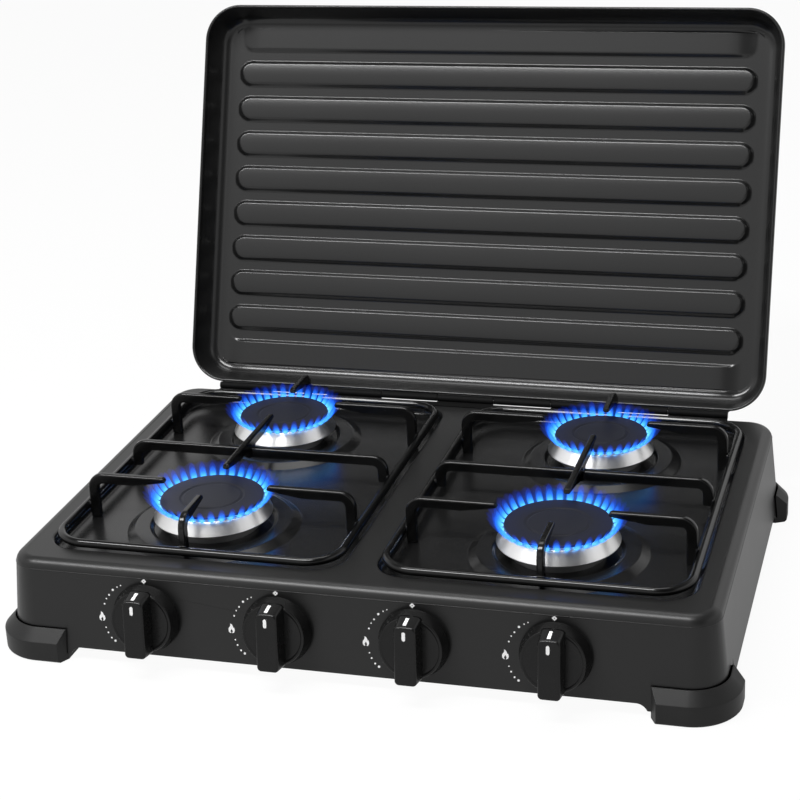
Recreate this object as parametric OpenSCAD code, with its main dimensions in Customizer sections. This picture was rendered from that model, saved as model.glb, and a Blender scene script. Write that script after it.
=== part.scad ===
// Four-burner tabletop gas stove with a hinged, ribbed lid.
// +X is to the right, the control panel faces -Y, +Z is up and the table is at z = 0.

/* [Body] */
// Width of the pressed body at the panels' lower edge
body_w = 520; // [500:2:560]
// Depth of the pressed body at the panels' lower edge
body_d = 355; // [347:2:389]
// Height of the top plate above the table
top_z = 74.5; // [72:0.5:86]
// Height of the panels' lower edge above the table
skirt_z = 10; // [8:0.5:13]
// Thickness of the body sheet
sheet = 1; // [0.8:0.1:1.2]
// Lean of the panels, which draw in towards the top
panel_lean = 5.5; // [3:0.5:7]
// Radius of the body's corners at the lower edge, seen from above
corner_r = 26; // [24:1:30]
// Radius of the rounded edge between the top plate and the panels
edge_r = 8; // [6:0.5:9]

/* [Wells] */
// Distance from the body's side to a well
well_side = 23; // [21:0.5:28]
// Distance from the front panel to the wells
well_front = 26.5; // [24:0.5:28]
// Distance from the rear panel to the wells
well_back = 20.5; // [20:0.5:24]
// Top plate left between the two wells
well_gap = 19.2; // [14:0.2:26]
// Depth of the wells below the top plate
well_depth = 7; // [6:0.5:9]
// Radius of the rolled edge of a well
well_lip_r = 3; // [2:0.25:4]
// Radius of a well's corners, seen from above
well_corner_r = 24; // [18:1:30]

/* [Burners] */
// Distance between the left and the right burners
burner_pitch_x = 259.5; // [252:0.5:266]
// Distance from the front panel to the front burners' axes
burner_front = 97.5; // [96:0.5:101]
// Distance from the rear panel to the rear burners' axes
burner_back = 93; // [91:0.5:97]
// Diameter of the front burner caps
front_cap_d = 77; // [70:0.5:80]
// Diameter of the rear burner caps
rear_cap_d = 71; // [62:0.5:76]
// How far the foot of the bright head stands out past the cap
head_flare = 5.8; // [4:0.2:7]
// Height of the head's lower edge above the top plate
head_lift = 3; // [2:0.25:5]
// Height of the head's conical face
head_cone_h = 10; // [8:0.2:11]
// Height of the gas ports
port_h = 2.4; // [1.8:0.1:3]
// Width of one gas port
port_w = 1.6; // [1:0.1:2.4]
// Number of gas ports around a head
port_count = 36; // [20:1:40]
// Thickness of a cap
cap_h = 1.8; // [1.4:0.1:2.4]
// Width of the raised plateau around a head
plateau_w = 20.5; // [14:0.5:21]
// Height of the plateau above the well's floor
plateau_h = 4; // [2:0.25:5]
// Depth of the dish between plateau and head
dish_depth = 2.5; // [1:0.25:3]

/* [Pan supports] */
// Diameter of the frame rod
rod_d = 6.4; // [5:0.2:7]
// Distance from a well's front or rear edge to the middle of the rod
rod_inset = 5.5; // [5:0.25:7]
// Distance from a well's side edge to the middle of the rod
rod_side_inset = 6.5; // [5:0.25:8]
// Corner radius of the rod frame, at the middle of the rod
rod_corner_r = 25; // [18:1:30]
// Height of the finger tops above the top plate
finger_top = 28.8; // [26:0.2:29]
// Width of a finger bar
finger_w = 5; // [4:0.25:6.5]
// Height of a finger bar
finger_h = 8; // [6:0.5:9]
// Outer bend radius of a finger
finger_bend_r = 12; // [10:0.5:14]
// Gap from a burner's middle to the tips of the outer side fingers
outer_tip = 36; // [30:0.5:44]
// Gap from a burner's middle to the tips of the inner side fingers
inner_tip = 43.5; // [36:0.5:54]
// Gap from a burner's middle to the tip of its front or rear finger
end_tip = 22; // [20:0.5:32]
// Gap from a burner's middle to the tip of the double finger
middle_tip = 30; // [24:0.5:36]

/* [Knobs] */
// Distance between neighbouring knobs
knob_pitch = 98; // [97:0.5:104]
// Height at which the knobs' axes meet the front panel
knob_z = 39.5; // [39:0.5:42]
// Diameter of a knob at its skirt
knob_base_d = 50; // [44:0.5:52]
// Diameter of a knob's face
knob_face_d = 45; // [40:0.2:48]
// Depth of a knob from skirt to face
knob_h = 10; // [8:0.5:13]
// Width of the grip bar at its front
grip_w = 14; // [12:0.2:16]
// Width of the grip bar at the face
grip_base_w = 16.8; // [16:0.2:20]
// How far the grip bar stands out of the face
grip_h = 13; // [10:0.5:16]
// How far a knob is pushed in before it turns
push_travel = 2.5; // [2:0.1:3]
// Gap left behind a knob that is pushed right in
push_rest = 0.5; // [0.4:0.1:1]
// Diameter of a spindle
spindle_d = 8; // [7:0.5:8]

/* [Lid] */
// Gap from the body's side to the lid's rim
lid_side = 14.5; // [14:0.5:18]
// Gap from the front panel to the closed lid's rim
lid_front = 21; // [19:0.2:23]
// Gap between the closed lid's rim and the top plate
lid_gap = 4; // [3.8:0.1:5]
// Depth of the lid from its rim to the inside of its panel
lid_h = 28; // [27.8:0.2:33]
// Radius of the lid's corners at the rim
lid_corner_r = 30; // [24:1:36]
// Height of the straight hem at the rim
hem_h = 8; // [7:0.5:10]
// Lean of the lid's walls
wall_lean = 20; // [14:1:24]
// Inside radius between a wall and the panel
panel_r = 9; // [7:0.5:11]
// Opening angle of the lid
lid_open = 110; // [95:0.5:112]
// Number of full ribs
rib_count = 8; // [5:1:8]
// Distance between neighbouring ribs
rib_pitch = 30.2; // [28:0.2:31]
// Width of one rib
rib_w = 22.6; // [18:0.2:25]
// Height of a rib above the panel's inner face
rib_h = 2.2; // [1:0.1:2.3]
// Width of a rib's sloped side
rib_slope = 3; // [1:0.1:3.6]
// Gap from the lid's front rim to the first rib
rib_front = 44; // [40:0.5:46]
// Gap from the lid's side rim to a rib's end
rib_side = 22.5; // [22:0.5:34]

/* [Hinge] */
// Distance from the hinge's axis to the rear panel
hinge_inset = 8.5; // [8:0.25:9.5]
// Gap from the lid's side rim to the end of the hinge
hinge_end = 28; // [24:0.5:40]
// Outer diameter of the hinge barrel
barrel_d = 5.6; // [5:0.2:6]
// Diameter of the hinge pin
pin_d = 2.6; // [2:0.1:3]
// Thickness of a hinge leaf
leaf_t = 1; // [0.8:0.1:1.2]
// Number of knuckles, an odd number
knuckle_count = 9; // [7:2:13]

/* [Feet] */
// Length of a foot along the front or rear panel, from the body's corner
foot_len = 49.5; // [45:0.5:60]
// Length of a foot along the side panel, from the body's corner
foot_side_len = 40; // [33:0.5:46]
// Height of a foot
foot_h = 24; // [22:0.5:30]
// Height of a foot's upright lower face
foot_face_h = 15.5; // [12:0.5:17]
// How far a foot stands out past the panels
foot_proud = 8.5; // [6:0.5:10]
// Gap between a foot's wall and the panel that it wraps
foot_gap = 0.8; // [0.4:0.1:1]
// How far the ends of a foot slope back
foot_end = 4.5; // [3:0.5:6]
// Thickness of a foot's sole
sole_h = 5; // [4.5:0.25:6]
// Width of the leg's flange that stands on the sole
leg_flange = 14; // [12:0.5:16]

/* [Gas train] */
// Diameter of the gas rail
rail_d = 12; // [10:0.5:14]
// Distance from the front panel to the rail's axis
rail_in = 41; // [40:0.5:46]
// Distance from the right-hand tap to the hose inlet
inlet_over = 43; // [39:1:47]
// Diameter of the hose spigot
spigot_d = 9; // [8:0.5:10]
// Length of the hose spigot
spigot_len = 20; // [16:1:26]
// Diameter of a feed tube
tube_d = 6; // [5:0.25:7]
// Bend radius of a feed tube
tube_bend = 8.5; // [7.5:0.25:9]
// Wire diameter of a return spring
wire_d = 1.1; // [0.8:0.1:1.2]
// Turns of a return spring
spring_turns = 4.5; // [3.5:0.5:5]

/* [Clearances] */
// Radial clearance of a pin or spindle that turns
run_fit = 0.05; // [0.03:0.01:0.08]
// Gap between pieces that move past each other
move_gap = 0.4; // [0.3:0.05:0.5]
// Gap between pieces that are only laid together
lay_gap = 0.1; // [0.05:0.05:0.15]

/* [Hidden] */
$fn = 64;
BURNERS = ["front_left", "rear_left", "rear_right", "front_right"];
SIDES = [-1, -1, 1, 1];
CORNERS = ["front_left", "rear_left", "rear_right", "front_right"];

// Levels of the body; the panels draw in by lean_in at height z
function lean_in(z) = (z - skirt_z) * tan(panel_lean);
panel_y = -body_d / 2;
rear_y = body_d / 2;
edge_inset = (edge_r + (top_z - edge_r - skirt_z) * sin(panel_lean)) / cos(panel_lean);
cut_r = skirt_z - 1.5;
leg_show = 1.5;
floor_z = top_z - well_depth;
plateau_z = floor_z + plateau_h;
dish_z = plateau_z - dish_depth;
well_fillet_r = well_depth - well_lip_r;

// Plan of a well
well_w = (body_w - 2 * well_side - well_gap) / 2;
well_d = body_d - well_front - well_back;
well_x = (well_gap + well_w) / 2;
well_y = (well_front - well_back) / 2;

// Burners: place, sizes and levels
front_burner_y = panel_y + burner_front;
rear_burner_y = rear_y - burner_back;
function is_front(i) = i == 0 || i == 3;
function burner_x(i) = SIDES[i] * burner_pitch_x / 2;
function burner_y(i) = is_front(i) ? front_burner_y : rear_burner_y;
function cap_r(i) = (is_front(i) ? front_cap_d : rear_cap_d) / 2;
function head_r(i) = cap_r(i) + head_flare;
function bore_r(i) = cap_r(i) - head_wall;
function cup_r(i) = cap_r(i) - cup_inset;
function plateau_r(i) = head_r(i) + plateau_w;
head_wall = 9;
cup_inset = 5;
cup_wall = 2.5;
cup_depth = 15.5;
cup_flange = 10;
cup_fit = 0.6;
dish_w = 3;
dish_slope = 2.5;
plateau_slope = 6.8;
head_z = top_z + head_lift;
port_z = head_z + head_cone_h;
cap_z = port_z + port_h;
cup_top_z = dish_z - sheet;
cup_z = cup_top_z - cup_depth;
venturi_r = 10;
venturi_wall = 2;
venturi_z = 39;

// Knob axes stand square on the leaning panel: y and z of a point on one, at a depth behind the panel
control_y = panel_y + lean_in(knob_z);
function axis_y(depth) = control_y + depth * cos(panel_lean);
function axis_z(depth) = knob_z - depth * sin(panel_lean);

// Injector holders and feed tubes
tap_r = 11;
outlet_in = 21;
outlet_len = 2;
outlet_y = axis_y(outlet_in);
outlet_z = axis_z(outlet_in) - tap_r - outlet_len;
tube_z = outlet_z - tube_bend;
holder_w = 12;
holder_d = 26;
holder_h = 12;
strap_t = 2;
strap_w = 10;
nozzle_r = 2.2;
nozzle_base_r = 5;
nozzle_base_h = 4;
nozzle_gap = 3;
holder_top_z = tube_z + holder_h / 2;

// Taps: depths along a knob's axis, from the panel's outer face
function tap_x(i) = (i - 1.5) * knob_pitch;
tap_front_y = sheet + 6;
tap_back_y = rail_in - rail_d / 2 - 4;
tap_neck = 16;
cavity_r = 8;
cavity_depth = 13;
seat_y = tap_front_y + cavity_depth;
outlet_r = 5;
washer_t = 1.4;
washer_r = cavity_r - move_gap / 2;
collar_r = 7;
collar_t = 2.5;
collar_y = tap_front_y - lay_gap;
spindle_r = spindle_d / 2;
spindle_flat = 1;
spindle_hole_r = 6;
knob_back_y = -push_travel - push_rest;
knob_face_y = knob_back_y - knob_h;
spindle_tip_y = knob_face_y - grip_h + 4;
spindle_end_y = seat_y + 6;
knob_wall = 2.5;
hub_r = 8;
spring_r = 6.3;

// Gas rail
rail_r = rail_d / 2;
rail_axis_y = axis_y(rail_in);
rail_z = axis_z(rail_in);
rail_bend = 25;
rail_over = 22;
rail_left_x = tap_x(0) - rail_over;
inlet_x = tap_x(3) + inlet_over;
rail_end_y = rear_y + 1;
rail_hole_gap = 1;
nut_r = 9;
nut_len = 10;
gas_bore_r = 2.5;
bracket_w = 12;
bracket_t = 2;
bracket_h = 16;

// Lid, closed, and hinge
rim_z = top_z + lid_gap;
hinge_y = rear_y - hinge_inset;
barrel_r = barrel_d / 2;
pin_r = pin_d / 2;
hinge_z = top_z + barrel_r + move_gap;
rim_rear_y = hinge_y - barrel_r - move_gap;
rim_front_y = panel_y + lid_front;
lid_w = body_w - 2 * lid_side;
lid_d = rim_rear_y - rim_front_y;
lid_y = (rim_rear_y + rim_front_y) / 2;
arc_z = lid_h - panel_r;
slope_end_z = arc_z + (panel_r + sheet) * sin(wall_lean);
panel_inset = (slope_end_z - hem_h) * tan(wall_lean) + (panel_r + sheet) * cos(wall_lean);
rib_len = lid_w - 2 * rib_side;
half_rib_w = 17;
rib_fade = 12;
hinge_len = lid_w - 2 * hinge_end;
knuckle_len = hinge_len / knuckle_count;
leaf_clear = barrel_r + move_gap;
leaf_h = hem_h - 0.5;

// Feet
leg_z = sole_h;
foot_lip = 1.2;
foot_edge = 1.5;
screw_r = 1.6;
screw_head_r = 3.5;
screw_head_h = 2;
screw_len = 9;
screw_offset = corner_r - 8;

// Rods and fingers of the pan supports
rod_r = rod_d / 2;
frame_z = top_z + rod_r;
frame_w = well_w - 2 * rod_side_inset;
frame_d = well_d - 2 * rod_inset;
finger_z = top_z + finger_top;
weld = 0.7;
bar_z = finger_z - finger_h + weld;
web_len = 16;
leg_low_z = floor_z;
leg_high_z = frame_z - rod_r;
tip_h = 3.8;
tip_round = 1.5;
taper_len = 26;

// A quarter or smaller piece of a ring, between two angles
module ring_piece(inner, outer, from, to) {
    middle = (from + to) / 2;
    reach = 3 * outer;
    intersection() {
        difference() {
            circle(outer);
            circle(inner);
        }
        polygon([[0, 0], [reach * cos(from), reach * sin(from)],
                 [reach * cos(middle), reach * sin(middle)], [reach * cos(to), reach * sin(to)]]);
    }
}

// A rectangle with round corners
module round_rect(w, d, r) {
    square([w - 2 * r, d], center = true);
    square([w, d - 2 * r], center = true);
    for (x = [-1, 1], y = [-1, 1])
        translate([x * (w / 2 - r), y * (d / 2 - r)]) circle(r);
}

// One corner of a swept frame: the profile's x = 0 lies on the path
module sweep_corner(w, d, r) {
    translate([w / 2 - r, d / 2 - r, 0]) rotate_extrude(angle = 90) translate([r, 0]) children();
}

// A straight stretch of a profile along Y, at x = offset
module sweep_run(offset, length) {
    translate([offset, 0, 0]) rotate([90, 0, 0]) linear_extrude(height = length, center = true) children();
}

// A profile swept around a rectangle with round corners
module sweep_rect(w, d, r) {
    for (s = [0, 180]) rotate([0, 0, s]) {
        sweep_corner(w, d, r) children();
        sweep_run(w / 2, d - 2 * r) children();
        rotate([0, 0, 90]) {
            sweep_corner(d, w, r) children();
            sweep_run(d / 2, w - 2 * r) children();
        }
    }
}

// A cylinder that starts at the origin and runs along +Y
module along_y(r, length) {
    rotate([-90, 0, 0]) cylinder(r = r, h = length);
}

// A quarter of a torus: starts at the origin along +Y and turns towards +X
module bend(r, radius) {
    translate([radius, 0, 0]) rotate([0, 0, 90]) rotate_extrude(angle = 90) translate([radius, 0])
        circle(r);
}

// Leaning wall, rounded top edge and leg flange of the body
module skirt_profile() {
    out = [cos(panel_lean), sin(panel_lean)];
    centre = [-edge_inset, top_z - edge_r];
    low = [-lean_in(leg_z), leg_z];
    inner = low - [sheet / cos(panel_lean), 0];
    polygon([low, centre + edge_r * out, centre + (edge_r - sheet) * out, inner]);
    translate(centre) ring_piece(edge_r - sheet, edge_r, panel_lean, 90);
    translate([-leg_flange, leg_z]) square([leg_flange - lean_in(leg_z + sheet), sheet]);
}

// Rolled lip and floor fillet of a well
module well_profile() {
    translate([0, top_z - well_lip_r]) ring_piece(well_lip_r - sheet, well_lip_r, 90, 180);
    translate([-well_depth, floor_z + well_fillet_r])
        ring_piece(well_fillet_r, well_fillet_r + sheet, 270, 360);
}

// Plateau and dish around the hole of a burner
module plateau(i) {
    outer = plateau_r(i);
    dish = head_r(i) + dish_w;
    hole = cup_r(i) + cup_fit;
    line = [[outer, floor_z], [outer - plateau_slope, plateau_z], [dish, plateau_z],
            [dish - dish_slope, dish_z], [hole, dish_z]];
    under = [for (k = [len(line) - 1:-1:0]) line[k] - [0, sheet]];
    rotate_extrude() polygon(concat(line, under));
}

// Cut between two legs with round inside corners, drawn across the panel
module leg_cut(half) {
    linear_extrude(height = 4 * corner_r, center = true) {
        translate([-half, -1]) square([2 * half, skirt_z + 1 - cut_r]);
        translate([cut_r - half, -1]) square([2 * (half - cut_r), skirt_z + 1]);
        for (s = [-1, 1]) translate([s * (half - cut_r), skirt_z - cut_r]) circle(cut_r);
    }
}

module body_shell() {
    color("#2b2c2e") difference() {
        union() {
            sweep_rect(body_w, body_d, corner_r) skirt_profile();
            translate([0, 0, top_z - sheet]) linear_extrude(height = sheet) difference() {
                round_rect(body_w - 2 * edge_inset, body_d - 2 * edge_inset, corner_r - edge_inset);
                for (s = [-1, 1]) translate([s * well_x, well_y]) round_rect(well_w, well_d, well_corner_r);
            }
            for (s = [-1, 1]) translate([s * well_x, well_y, 0]) {
                sweep_rect(well_w, well_d, well_corner_r) well_profile();
                translate([0, 0, floor_z - sheet]) linear_extrude(height = sheet) difference() {
                    round_rect(well_w - 2 * well_depth, well_d - 2 * well_depth, well_corner_r - well_depth);
                    for (i = [0:3]) if (SIDES[i] == s)
                        translate([burner_x(i) - s * well_x, burner_y(i) - well_y]) circle(plateau_r(i));
                }
            }
            for (i = [0:3]) translate([burner_x(i), burner_y(i), 0]) plateau(i);
        }
        for (s = [-1, 1]) {
            translate([0, s * rear_y, 0]) rotate([90, 0, 0]) leg_cut(body_w / 2 - foot_len - leg_show);
            translate([s * body_w / 2, 0, 0]) rotate([90, 0, 90])
                leg_cut(body_d / 2 - foot_side_len - leg_show);
        }
        for (i = [0:3]) control_pose(tap_x(i)) translate([0, -1, 0]) along_y(spindle_hole_r, sheet + 2);
        translate([inlet_x, rear_y - lean_in(rail_z) - sheet - 2, rail_z])
            along_y(rail_r + rail_hole_gap, sheet + 4);
        each_leg() cylinder(r = screw_r + lay_gap, h = leg_z + 2 * sheet);
    }
}

// Places its children at the screw of each leg
module each_leg() {
    for (x = [-1, 1], y = [-1, 1]) mirror([x < 0 ? 1 : 0, 0, 0]) mirror([0, y < 0 ? 1 : 0, 0])
        leg_screw_place() children();
}

module leg_screw_place() {
    side = corner_r - screw_offset * cos(45);
    translate([body_w / 2 - side, body_d / 2 - side, 0]) children();
}

// Wedge that slopes the end of a foot back, from the panel at the origin outwards along +X
module foot_end_cut() {
    reach = foot_proud + 2;
    translate([0, 0, -1]) linear_extrude(height = foot_h + 2)
        polygon([[0, 0], [reach, foot_end * reach / foot_proud], [reach, -2], [0, -2]]);
}

module foot(i) {
    top_in = foot_gap - lean_in(foot_h);
    profile = [[top_in, foot_h], [top_in + foot_lip, foot_h], [foot_proud, foot_face_h],
               [foot_proud, foot_edge], [foot_proud - foot_edge, 0], [-leg_flange - 2, 0],
               [-leg_flange - 2, sole_h], [foot_gap - lean_in(sole_h), sole_h]];
    long_run = foot_len - corner_r;
    short_run = foot_side_len - corner_r;
    color("#1f2022") mirror([SIDES[i] < 0 ? 1 : 0, 0, 0]) mirror([0, is_front(i) ? 1 : 0, 0]) difference() {
        union() {
            sweep_corner(body_w, body_d, corner_r) polygon(profile);
            translate([0, body_d / 2 - corner_r - short_run / 2, 0]) sweep_run(body_w / 2, short_run)
                polygon(profile);
            translate([body_w / 2 - corner_r - long_run / 2, 0, 0]) rotate([0, 0, 90])
                sweep_run(body_d / 2, long_run) polygon(profile);
        }
        translate([body_w / 2, body_d / 2 - foot_side_len, 0]) foot_end_cut();
        translate([body_w / 2 - foot_len, body_d / 2, 0]) mirror([1, -1, 0]) foot_end_cut();
        leg_screw_place() translate([0, 0, -1]) {
            cylinder(r = screw_r + lay_gap, h = sole_h + 2);
            cylinder(r = screw_head_r + move_gap, h = screw_head_h + 2);
        }
    }
}

module foot_screws() {
    color("silver") each_leg() translate([0, 0, 1]) {
        cylinder(r = screw_head_r, h = screw_head_h);
        cylinder(r = screw_r, h = screw_len);
    }
}

// Side view of a finger: leg on the left, down to height foot, and tip on the right
module finger_profile(length, foot) {
    knee = finger_z - finger_bend_r;
    translate([0, foot]) square([finger_h, knee - foot]);
    translate([finger_bend_r, knee]) ring_piece(finger_bend_r - finger_h, finger_bend_r, 90, 180);
    polygon([[finger_bend_r, finger_z - finger_h], [finger_bend_r, finger_z],
             [length - tip_round, finger_z], [length, finger_z - tip_round],
             [length, finger_z - tip_h],
             [max(length - taper_len, finger_bend_r + 1), finger_z - finger_h]]);
}

// A finger whose leg starts at the origin and which points along +X
module finger(length, foot) {
    rotate([90, 0, 0]) linear_extrude(height = finger_w, center = true) finger_profile(length, foot);
}

// Double finger along Y, between the two burners of a grate
module double_finger(from, to) {
    middle = (front_burner_y + rear_burner_y) / 2;
    low = finger_z - finger_h;
    rotate([90, 0, 90]) linear_extrude(height = finger_w, center = true)
        polygon([[from + tip_round, finger_z], [to - tip_round, finger_z], [to, finger_z - tip_round],
                 [to, finger_z - tip_h], [to - taper_len, low], [middle + web_len / 2, low],
                 [middle + web_len / 4, bar_z - finger_h], [middle - web_len / 4, bar_z - finger_h],
                 [middle - web_len / 2, low], [from + taper_len, low], [from, finger_z - tip_h],
                 [from, finger_z - tip_round]]);
}

// Raised flat bar across the frame
module cross_bar() {
    reach = frame_w / 2 - rod_r + weld;
    knee = bar_z - finger_bend_r;
    rotate([90, 0, 0]) linear_extrude(height = finger_w, center = true) for (m = [0, 1]) mirror([m, 0]) {
        translate([reach - finger_h, leg_high_z]) square([finger_h, knee - leg_high_z]);
        translate([reach - finger_bend_r, knee]) ring_piece(finger_bend_r - finger_h, finger_bend_r, 0, 90);
        translate([0, bar_z - finger_h]) square([reach - finger_bend_r, finger_h]);
    }
}

// Pan support over the burners of one side: s is -1 on the left and 1 on the right
module grate(s) {
    inner_leg = s * well_x - s * (frame_w / 2 - rod_r + weld);
    outer_leg = s * well_x + s * (frame_w / 2 - rod_r + weld);
    front_leg = well_y - frame_d / 2 + rod_r - weld;
    rear_leg = well_y + frame_d / 2 - rod_r + weld;
    x = s * burner_pitch_x / 2;
    cross_y = (front_burner_y + rear_burner_y) / 2;
    color("#121214") {
        translate([s * well_x, well_y, frame_z]) sweep_rect(frame_w, frame_d, rod_corner_r) circle(rod_r);
        translate([s * well_x, cross_y, 0]) cross_bar();
        translate([x, 0, 0]) double_finger(front_burner_y + middle_tip, rear_burner_y - middle_tip);
        for (y = [front_burner_y, rear_burner_y]) {
            translate([outer_leg, y, 0]) rotate([0, 0, s < 0 ? 0 : 180])
                finger(abs(outer_leg - x) - outer_tip, leg_low_z);
            translate([inner_leg, y, 0]) rotate([0, 0, s < 0 ? 180 : 0])
                finger(abs(inner_leg - x) - inner_tip, leg_low_z);
        }
        translate([x, front_leg, 0]) rotate([0, 0, 90])
            finger(front_burner_y - front_leg - end_tip, leg_high_z);
        translate([x, rear_leg, 0]) rotate([0, 0, -90])
            finger(rear_leg - rear_burner_y - end_tip, leg_high_z);
    }
}

module burner_cup(i) {
    r = cup_r(i);
    color("#8b8f94") translate([burner_x(i), burner_y(i), 0]) rotate_extrude()
        polygon([[venturi_r - venturi_wall, venturi_z], [venturi_r, venturi_z], [venturi_r, cup_z],
                 [r, cup_z],
                 [r, cup_top_z - cup_wall], [r + cup_flange, cup_top_z - cup_wall],
                 [r + cup_flange, cup_top_z],
                 [r, cup_top_z], [r, head_z], [r - cup_wall, head_z], [r - cup_wall, cup_z + cup_wall],
                 [venturi_r - venturi_wall, cup_z + cup_wall]]);
}

module burner_head(i) {
    chamfer = 1;
    color("#d9dadc") translate([burner_x(i), burner_y(i), 0]) difference() {
        rotate_extrude()
            polygon([[bore_r(i), head_z], [head_r(i) - chamfer, head_z], [head_r(i), head_z + chamfer],
                     [cap_r(i), port_z], [cap_r(i) - chamfer, port_z], [cap_r(i) - chamfer, cap_z],
                     [bore_r(i), cap_z]]);
        for (k = [0:port_count - 1]) rotate([0, 0, k * 360 / port_count])
            translate([bore_r(i) - 1, -port_w / 2, port_z + 0.3]) cube([head_wall + 2, port_w, port_h]);
    }
}

module burner_cap(i) {
    r = cap_r(i);
    top = cap_z + cap_h;
    groove = 0.6;
    groove_in = 0.55 * r;
    groove_out = 0.62 * r;
    skirt_h = 5;
    skirt_out = bore_r(i) - 3 * lay_gap;
    skirt_in = skirt_out - 2;
    color("#17181b") translate([burner_x(i), burner_y(i), 0]) rotate_extrude()
        polygon([[0, cap_z], [skirt_in, cap_z], [skirt_in, cap_z - skirt_h], [skirt_out, cap_z - skirt_h],
                 [skirt_out, cap_z], [r - groove, cap_z], [r, cap_z + groove], [r - groove, top],
                 [groove_out, top], [groove_out - groove, top - groove], [groove_in + groove, top - groove],
                 [groove_in, top], [0, top]]);
}

module injector_holder(i) {
    color("#9a9da1") translate([burner_x(i), burner_y(i), 0]) {
        translate([-holder_w / 2, -holder_d / 2, tube_z - holder_h / 2])
            cube([holder_w, holder_d, holder_h]);
        for (s = [-1, 1])
            translate([-strap_w / 2, s * (holder_d + strap_t) / 2 - strap_t / 2, tube_z - holder_h / 2])
            cube([strap_w, strap_t, cup_z - tube_z + holder_h / 2]);
    }
}

module injectors() {
    color("#b8943f") for (i = [0:3]) translate([burner_x(i), burner_y(i), holder_top_z]) {
        cylinder(r = nozzle_base_r, h = nozzle_base_h, $fn = 6);
        cylinder(r = nozzle_r, h = venturi_z - nozzle_gap - holder_top_z);
    }
}

// From the tap's outlet, back under the rail and sideways to the injector holder
module feed_tube(i) {
    r = tube_d / 2;
    start_y = outlet_y + tube_bend;
    turn_y = burner_y(i) - tube_bend;
    side_run = abs(burner_x(i) - tap_x(i)) - holder_w / 2 - tube_bend;
    color("#a9acb0") translate([tap_x(i), 0, 0]) mirror([burner_x(i) < tap_x(i) ? 1 : 0, 0, 0]) {
        translate([0, start_y, outlet_z]) rotate([90, 0, 90]) rotate([0, 0, 180])
            rotate_extrude(angle = 90) translate([tube_bend, 0]) circle(r);
        translate([0, start_y, tube_z]) along_y(r, turn_y - start_y);
        translate([0, turn_y, tube_z]) bend(r, tube_bend);
        translate([tube_bend, burner_y(i), tube_z]) rotate([0, 90, 0]) cylinder(r = r, h = side_run);
    }
}

module gas_rail() {
    bend_x = inlet_x - rail_bend;
    color("#b9bcc0") translate([0, 0, rail_z]) {
        translate([rail_left_x, rail_axis_y, 0]) rotate([0, 90, 0])
            cylinder(r = rail_r, h = bend_x - rail_left_x);
        translate([bend_x, rail_axis_y + rail_bend, 0]) rotate([0, 0, -90])
            rotate_extrude(angle = 90) translate([rail_bend, 0]) circle(rail_r);
        translate([inlet_x, rail_axis_y + rail_bend, 0])
            along_y(rail_r, rail_end_y - rail_axis_y - rail_bend);
    }
}

module rail_brackets() {
    color("#9a9da1") for (i = [0, 2]) control_pose((tap_x(i) + tap_x(i + 1)) / 2)
        translate([-bracket_w / 2, sheet, -rail_r - bracket_t]) {
            cube([bracket_w, rail_in - sheet + rail_r, bracket_t]);
            cube([bracket_w, bracket_t, bracket_h]);
        }
}

module gas_inlet() {
    color("#b8943f") translate([inlet_x, rail_end_y, rail_z]) difference() {
        union() {
            rotate([-90, 0, 0]) cylinder(r = nut_r, h = nut_len, $fn = 6);
            along_y(spigot_d / 2, nut_len + spigot_len);
        }
        translate([0, nut_len / 2, 0]) along_y(gas_bore_r, nut_len + spigot_len);
    }
}

// Places its children on a knob's axis: y = 0 is the panel's outer face and +Y points into the body
module control_pose(x) {
    translate([x, control_y, knob_z]) rotate([-panel_lean, 0, 0]) children();
}

module tap(i) {
    neck_end = rail_in - tap_back_y;
    color("#a08a4d") difference() {
        union() {
            control_pose(tap_x(i)) {
                translate([0, tap_front_y, 0]) along_y(tap_r, tap_back_y - tap_front_y);
                translate([-tap_neck / 2, tap_back_y - 1, -tap_neck / 2])
                    cube([tap_neck, neck_end + 1, tap_neck]);
            }
            translate([tap_x(i), outlet_y, outlet_z])
                cylinder(r = outlet_r, h = axis_z(outlet_in) - outlet_z);
        }
        control_pose(tap_x(i)) {
            translate([-tap_neck, rail_in, 0]) rotate([0, 90, 0]) cylinder(r = rail_r, h = 2 * tap_neck);
            translate([0, tap_front_y - 1, 0]) along_y(cavity_r, cavity_depth + 1);
            translate([0, seat_y - 1, 0])
                along_y(spindle_r + run_fit, spindle_end_y - seat_y + push_travel + 2);
        }
    }
}

module thrust_washer(i) {
    color("#c8c9cb") control_pose(tap_x(i)) translate([0, tap_front_y, 0]) difference() {
        along_y(washer_r, washer_t);
        translate([0, -1, 0]) along_y(spindle_r + run_fit, washer_t + 2);
    }
}

// Points of one ring of the spring's wire
function spring_ring(k, steps, length, sides) =
    let (a = 360 * spring_turns * k / steps, y = length * k / steps, w = wire_d / 2)
    [for (j = [0:sides - 1]) let (b = 360 * j / sides, r = spring_r + w * cos(b))
        [r * cos(a), y + w * sin(b), r * sin(a)]];

module return_spring(i) {
    sides = 6;
    steps = 8 * spring_turns;
    front = tap_front_y + washer_t + lay_gap + wire_d / 2;
    length = seat_y - lay_gap - wire_d / 2 - front;
    points = [for (k = [0:steps]) each spring_ring(k, steps, length, sides)];
    walls = [for (k = [0:steps - 1], j = [0:sides - 1])
        let (a = k * sides + j, b = k * sides + (j + 1) % sides)
        each [[a, b, b + sides], [a, b + sides, a + sides]]];
    last = steps * sides;
    ends = [for (j = [1:sides - 2]) each [[0, j + 1, j], [last, last + j, last + j + 1]]];
    echo(spring_gap = length / spring_turns - wire_d);
    color("#c8c9cb") control_pose(tap_x(i)) translate([0, front, 0])
        polyhedron(points, concat(walls, ends));
}

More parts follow.
